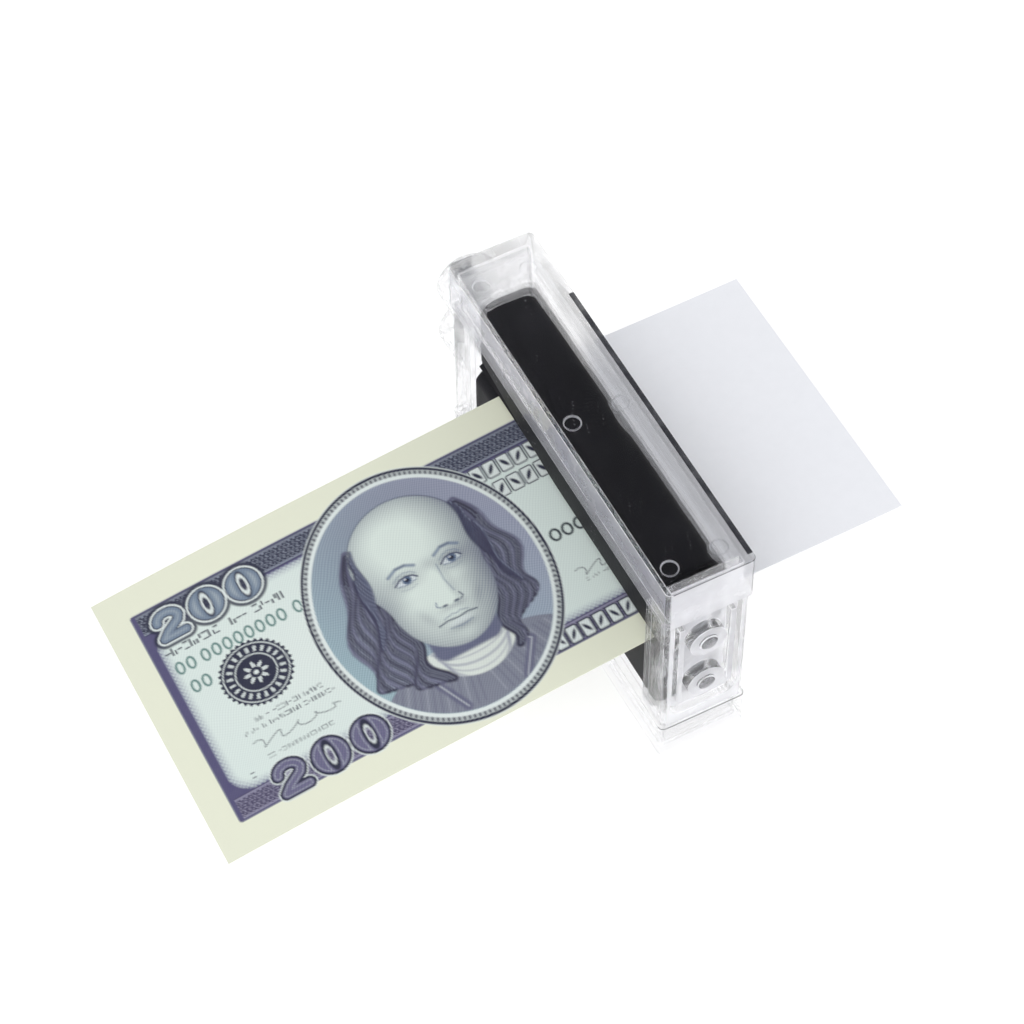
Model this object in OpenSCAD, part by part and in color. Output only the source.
// Clear table-top note roller: two rollers one above the other, a black band
// wound round both in an S, a printed play note coming out at the front and a
// blank slip going in at the back.
// X runs along the rollers, -Y is the front, +Z is up. The origin is the
// middle of the underside of the base tray. Millimetres.

/* [Case] */
// Length of the case along the rollers
case_l = 91; // [88:1:96]
// Depth of the case from front to back
case_w = 19.2; // [18.8:0.2:21]
// Height of the case
case_h = 56; // [54:1:60]
// Wall of the lid and the tray
wall = 1.6; // [1.2:0.1:1.8]
// Thickness of the lid's top and the tray's floor
plate_t = 2; // [1.6:0.2:2.4]
// Height of the lid, top included
lid_h = 11.5; // [10:0.5:12]
// Height of the tray, floor included
tray_h = 9.5; // [8:0.5:10]
// Radius of the case's upright corners
corner_r = 1.2; // [0.8:0.2:2.4]
// Ledge where the lid and the tray stand out past the end frames
ledge = 0.5; // [0.3:0.1:0.8]

/* [End frames] */
// Thickness of an end wall
end_t = 3; // [2.8:0.2:3.6]
// Width of the front and back columns beside each end wall
column_w = 8; // [6:0.5:8]
// Thickness of the columns
column_t = 1.3; // [1:0.1:1.4]
// Depth of the recess in the outside of the right end wall
recess_d = 1.8; // [1:0.1:2]
// Outside diameter of the bearing bosses in the recess
boss_d = 8; // [7:0.5:9]

/* [Rollers] */
// Distance between the two roller axes
roller_pitch = 14; // [14:0.5:15]
// Outside diameter of a roller tube
tube_d = 8.4; // [8:0.2:8.8]
// Length of a roller tube
tube_l = 80; // [78:1:81]
// Diameter of the end pins
pin_d = 4; // [3:0.5:4.5]
// Diameter of the clear discs at the ends of a roller
disc_d = 12.6; // [12:0.2:13.2]
// Diameter over the wound turns of band
wound_d = 10.4; // [10:0.1:10.4]

/* [Knobs] */
// Diameter of a knob
knob_d = 13.4; // [12:0.2:13.6]
// Length of a knob
knob_l = 10; // [8:0.5:12]
// Gap between the case and the knobs
knob_gap = 2.4; // [1:0.2:4]
// Number of grip flutes round a knob
flutes = 18; // [12:1:24]

/* [Band] */
// Thickness of the black band
band_t = 0.6; // [0.5:0.1:0.6]
// Width of the band along the rollers
band_l = 76.4; // [70:0.2:77]
// Half the depth of the band's slack loops, to the middle of the band
loop_y = 7.1; // [6.8:0.1:7.3]
// Height of the slack loops above and below the nip, to the middle of the band
loop_z = 21; // [19:0.2:22]
// Radius of the loops' corners beside the nip, to the middle of the band
loop_r = 2.7; // [2:0.1:3]
// Radius of the loops' far corners, to the middle of the band
crown_r = 3.8; // [2.6:0.1:4.6]

/* [Paper] */
// Width of the note and the slip
paper_w = 66.3; // [60:0.1:68]
// Thickness of the note and the slip, thicker than real paper
paper_t = 0.2; // [0.15:0.05:0.25]
// Length of the note that is out of the machine at rest
note_out = 96; // [80:1:110]
// Length of the note still to come out
note_wound = 44; // [30:1:50]
// Slope of the note as it hangs from the nip, degrees
note_slope = 7.5; // [7:0.1:8]
// Distance of the slip's free edge behind the roller axes
slip_out = 52.4; // [45:0.2:60]
// Sideways place of the note's middle
note_x = 2.9; // [0:0.1:3]
// Sideways place of the slip's middle
slip_x = -1.6; // [-3:0.1:0]

/* [Hidden] */
$fn = 64;
seam = 0.1;
play = 0.2;
pin_play = 0.05;
bevel = 0.4;
mid_z = case_h / 2;
upper_z = mid_z + roller_pitch / 2;
lower_z = mid_z - roller_pitch / 2;
lid_z = case_h - lid_h;
frame_l = case_l - 2 * ledge;
frame_w = case_w - 2 * ledge;
end_in = frame_l / 2 - end_t;
recess_floor = frame_l / 2 - recess_d;
tongue_out = case_l / 2 - wall - play;
tongue_w = case_w - 2 * wall - 2 * play;
recess_w = 14.8;
recess_z0 = tray_h + 3;
recess_z1 = lid_z + 3;
recess_r = 3;
rail_y = 5.6;
rail_w = 1.2;
rail_z0 = recess_z0 + 4.5;
rail_z1 = lid_z - 3;
boss_out = frame_l / 2 + 0.6;
collar_h = 0.8;
collar_t = 0.8;
mark_y = 5.3;
mark_pitch = 38.6;
mark_d = 3.5;
mark_t = 0.2;
disc_t = 1;
tube_wall = 1.2;
plug_l = 8;
plug_d = tube_d - 2 * tube_wall;
shoulder_d = 5.2;
shoulder_l = end_in - play - tube_l / 2;
tape_t = 0.3;
tape_w = 4;
tape_l = 70;
turn_r = tube_d / 2;
knob_bore_l = 7;
knob_in = -case_l / 2 - knob_gap;
knob_out = knob_in - knob_l;
flute_d = 1.1;
flute_in = 0.25;
screw_head_d = 4.6;
screw_head_t = 1.4;
screw_d = 1.8;
screw_l = 7;
slot_w = 0.7;
nip_gap = 0.75;
channel_y = loop_y - loop_r;
crown_y = loop_y - crown_r;
note_tail_y = -3;
note_tail_z = mid_z + (band_t + nip_gap) / 2 + 0.08;
leaf_tail_y = -7.2;
leaf_gap = 0.1;
slip_head_y = 2.5;
slip_z = mid_z - (band_t + nip_gap) / 2;

// ---- shared shapes ----

// Upright block with four rounded edges, made of plain blocks and cylinders
module round_block(l, w, h, r) {
    translate([-l / 2 + r, -w / 2, 0]) cube([l - 2 * r, w, h]);
    translate([-l / 2, -w / 2 + r, 0]) cube([l, w - 2 * r, h]);
    for (x = [-1, 1], y = [-1, 1])
        translate([x * (l / 2 - r), y * (w / 2 - r), 0]) cylinder(r = r, h = h, $fn = 32);
}

// Cylinder lying along X from x0 to x1 at height z
module rod(x0, x1, z, d) {
    translate([x0, 0, z]) rotate([0, 90, 0]) cylinder(d = d, h = x1 - x0);
}

// Ring lying along X from x0 to x1 at height z
module ring(x0, x1, z, d_out, d_in) {
    difference() {
        rod(x0, x1, z, d_out);
        rod(x0 - 1, x1 + 1, z, d_in);
    }
}

// Points of an arc about (cy, cz) from angle a0 to a1
function arc(cy, cz, r, a0, a1, steps = 8) =
    [for (i = [0 : steps]) let (a = a0 + (a1 - a0) * i / steps) [cy + r * cos(a), cz + r * sin(a)]];

// ---- case ----

// Open box shared by the lid and the tray, open at the top
module open_box(h) {
    difference() {
        round_block(case_l, case_w, h, corner_r);
        translate([0, 0, plate_t])
            round_block(case_l - 2 * wall, case_w - 2 * wall, h, corner_r - wall / 2);
    }
}

module top_cover() {
    color("whitesmoke", 0.4) {
        translate([0, 0, case_h]) mirror([0, 0, 1]) open_box(lid_h);
        for (x = [-1, 0, 1], y = [-1, 1])
            translate([x * mark_pitch, y * mark_y, case_h - plate_t - mark_t])
                cylinder(d = mark_d, h = mark_t + 0.1);
    }
}

module base_tray() {
    color("whitesmoke", 0.4) open_box(tray_h);
}

// End wall with its two columns and the tongues that enter the lid and the tray
module end_wall() {
    translate([end_in, -tongue_w / 2, plate_t])
        cube([tongue_out - end_in, tongue_w, case_h - 2 * plate_t - seam]);
    translate([0, 0, tray_h + seam])
        difference() {
            intersection() {
                round_block(frame_l, frame_w, lid_z - tray_h - 2 * seam, corner_r);
                translate([frame_l / 2 - column_w, -frame_w, -1]) cube([column_w, 2 * frame_w, case_h]);
            }
            translate([0, -frame_w / 2 + column_t, -1]) cube([end_in, frame_w - 2 * column_t, case_h]);
        }
}

// Rounded pocket in the outside of the end wall
module recess() {
    translate([recess_floor, 0, (recess_z0 + recess_z1) / 2])
        rotate([0, 90, 0])
            round_block(recess_z1 - recess_z0, recess_w, recess_d + 1, recess_r);
}

// Thin collar on the inside of the end wall round one roller
module collar(z) {
    ring(end_in - collar_h, end_in + 0.1, z, disc_d + 0.6, disc_d + 0.6 - 2 * collar_t);
}

module end_frame_right() {
    color("whitesmoke", 0.4)
        difference() {
            union() {
                difference() {
                    end_wall();
                    recess();
                }
                for (y = [-1, 1])
                    translate([recess_floor - 0.1, y * rail_y - rail_w / 2, rail_z0])
                        cube([recess_d + 0.1, rail_w, rail_z1 - rail_z0]);
                for (z = [lower_z, upper_z])
                    rod(end_in, boss_out, z, boss_d);
            }
            for (z = [lower_z, upper_z])
                rod(end_in - 1, boss_out + 1, z, pin_d + 2 * pin_play);
        }
}

module end_frame_left() {
    color("whitesmoke", 0.4)
        difference() {
            mirror([1, 0, 0]) end_wall();
            for (z = [lower_z, upper_z])
                rod(-frame_l, -end_in + 1, z, pin_d + 2 * pin_play);
        }
}

// ---- rollers ----

module roller_tube(z) {
    color("gainsboro") ring(-tube_l / 2, tube_l / 2, z, tube_d, plug_d);
}

// Plug at the knob end: it fills the tube's end and its pin carries the knob
module drive_plug(z) {
    color("gainsboro")
        difference() {
            union() {
                rod(-tube_l / 2, -tube_l / 2 + plug_l, z, plug_d);
                rod(-tube_l / 2 - shoulder_l, -tube_l / 2 + 1, z, shoulder_d);
                rod(knob_in - knob_bore_l, -tube_l / 2, z, pin_d);
            }
            rod(knob_in - knob_bore_l - 1, knob_in - knob_bore_l + screw_l, z, screw_d);
        }
}

// Plug at the other end, with the pin that shows in the bearing boss
module end_plug(z) {
    color("gainsboro") {
        rod(tube_l / 2 - plug_l, tube_l / 2, z, plug_d);
        rod(tube_l / 2 - 1, tube_l / 2 + shoulder_l, z, shoulder_d);
        rod(tube_l / 2, boss_out + 0.4, z, pin_d);
    }
}

// Clear disc that keeps the wound band from walking along the roller
module end_disc(z, side) {
    x0 = side > 0 ? band_l / 2 + 0.3 : -band_l / 2 - 0.3 - disc_t;
    color("whitesmoke", 0.5) ring(x0, x0 + disc_t, z, disc_d, tube_d);
}

// Turns of band wound on the tube, with room beneath for the tape
module wound_band(z, tail) {
    color([0.05, 0.05, 0.06])
        difference() {
            ring(-band_l / 2, band_l / 2, z, wound_d, tube_d);
            translate([0, 0, z]) rotate([tail, 0, 0])
                translate([-band_l / 2 - 1, -tape_w / 2, turn_r - 1]) cube([band_l + 2, tape_w, 1 + tape_t]);
        }
}

// Strip of tape that holds the band's end to the tube
module band_tape(z, tail) {
    color("khaki")
        translate([0, 0, z]) rotate([tail, 0, 0])
            intersection() {
                translate([-tape_l / 2, -tape_w / 2 + play, 0])
                    cube([tape_l, tape_w - 2 * play, turn_r + tape_t - 0.05]);
                ring(-tape_l / 2, tape_l / 2, 0, 2 * (turn_r + tape_t), tube_d);
            }
}

module knob(z) {
    color("whitesmoke", 0.5)
        difference() {
            translate([knob_out, 0, z]) rotate([0, 90, 0])
                rotate_extrude()
                    polygon([[0, 0], [knob_d / 2 - 1, 0], [knob_d / 2, 1],
                             [knob_d / 2, knob_l - bevel], [knob_d / 2 - bevel, knob_l], [0, knob_l]]);
            for (i = [0 : flutes - 1])
                translate([0, 0, z]) rotate([i * 360 / flutes, 0, 0])
                    translate([knob_out - 1, 0, knob_d / 2 + flute_d / 2 - flute_in])
                        rotate([0, 90, 0]) cylinder(d = flute_d, h = knob_l - 1, $fn = 16);
            rod(knob_in - knob_bore_l, knob_in + 1, z, pin_d);
            rod(knob_out + screw_head_t, knob_in, z, screw_d);
            rod(knob_out - 1, knob_out + screw_head_t, z, screw_head_d + play);
        }
}

module knob_screw(z) {
    color("silver")
        difference() {
            union() {
                rod(knob_out + 0.2, knob_out + screw_head_t, z, screw_head_d);
                rod(knob_out + screw_head_t, knob_in - 1, z, screw_d);
            }
            translate([knob_out - 1, -slot_w / 2, z - screw_head_d]) cube([1.8, slot_w, 2 * screw_head_d]);
            translate([knob_out - 1, -screw_head_d, z - slot_w / 2]) cube([1.8, 2 * screw_head_d, slot_w]);
        }
}

// ---- band ----

// Middle line of the slack band in Y and Z: up and over the upper roller,
// through the nip towards the front, and down round the lower roller
// The upper loop keeps its outside on the left of the way, the lower on the right.
function slack_path(o) =
    let (gap = band_t + nip_gap, top = mid_z + loop_z - crown_r, low = mid_z - loop_z + crown_r)
    concat(
        [[0, mid_z + gap - o]],
        arc(-channel_y, mid_z + gap + loop_r, loop_r + o, 270, 180),
        arc(-crown_y, top, crown_r + o, 180, 90),
        arc(crown_y, top, crown_r + o, 90, 0),
        arc(channel_y, mid_z + loop_r, loop_r + o, 0, -90),
        arc(-channel_y, mid_z - loop_r, loop_r - o, 90, 180),
        arc(-crown_y, low, crown_r - o, 180, 270),
        arc(crown_y, low, crown_r - o, 270, 360),
        arc(channel_y, mid_z - gap - loop_r, loop_r - o, 0, 90),
        [[0, mid_z - gap - o]]);

module band_slack() {
    outer = slack_path(band_t / 2);
    inner = slack_path(-band_t / 2);
    color([0.05, 0.05, 0.06])
        translate([-band_l / 2, 0, 0])
            rotate([90, 0, 90])
                linear_extrude(height = band_l)
                    polygon(concat(outer, [for (i = [len(inner) - 1 : -1 : 0]) inner[i]]));
}

// ---- paper ----

// Flat leaf that hangs forwards from (y, z) along the note's slope
module note_leaf(y, z, l, w) {
    translate([note_x, y, z]) rotate([note_slope, 0, 0])
        translate([-w / 2, -l, -paper_t / 2]) cube([w, l, paper_t]);
}

module play_note() {
    color([0.86, 0.89, 0.80]) note_leaf(note_tail_y, note_tail_z, note_out, paper_w);
}

module note_still_wound() {
    drop = (note_tail_y - leaf_tail_y) * tan(note_slope) + (paper_t + leaf_gap) / cos(note_slope);
    color([0.80, 0.84, 0.76])
        note_leaf(leaf_tail_y, note_tail_z - drop, note_wound, paper_w - 0.4);
}

module blank_slip() {
    color("white")
        translate([slip_x - paper_w / 2, slip_head_y, slip_z - paper_t / 2])
            cube([paper_w, slip_out - slip_head_y, paper_t]);
}

// ---- named pieces ----

module upper_tube() { roller_tube(upper_z); }
module upper_drive_plug() { drive_plug(upper_z); }
module upper_end_plug() { end_plug(upper_z); }
module upper_disc_left() { end_disc(upper_z, -1); }
module upper_disc_right() { end_disc(upper_z, 1); }
module upper_wound_band() { wound_band(upper_z, 0); }
module upper_band_tape() { band_tape(upper_z, 0); }
module upper_knob() { knob(upper_z); }
module upper_knob_screw() { knob_screw(upper_z); }
module lower_tube() { roller_tube(lower_z); }
module lower_drive_plug() { drive_plug(lower_z); }
module lower_end_plug() { end_plug(lower_z); }
module lower_disc_left() { end_disc(lower_z, -1); }
module lower_disc_right() { end_disc(lower_z, 1); }
module lower_wound_band() { wound_band(lower_z, 180); }
module lower_band_tape() { band_tape(lower_z, 180); }
module lower_knob() { knob(lower_z); }
module lower_knob_screw() { knob_screw(lower_z); }

top_cover();
base_tray();
end_frame_right();
end_frame_left();
band_slack();
play_note();
note_still_wound();
blank_slip();
upper_tube();
upper_drive_plug();
upper_end_plug();
upper_disc_left();
upper_disc_right();
upper_wound_band();
upper_band_tape();
upper_knob();
upper_knob_screw();
lower_tube();
lower_drive_plug();
lower_end_plug();
lower_disc_left();
lower_disc_right();
lower_wound_band();
lower_band_tape();
lower_knob();
lower_knob_screw();
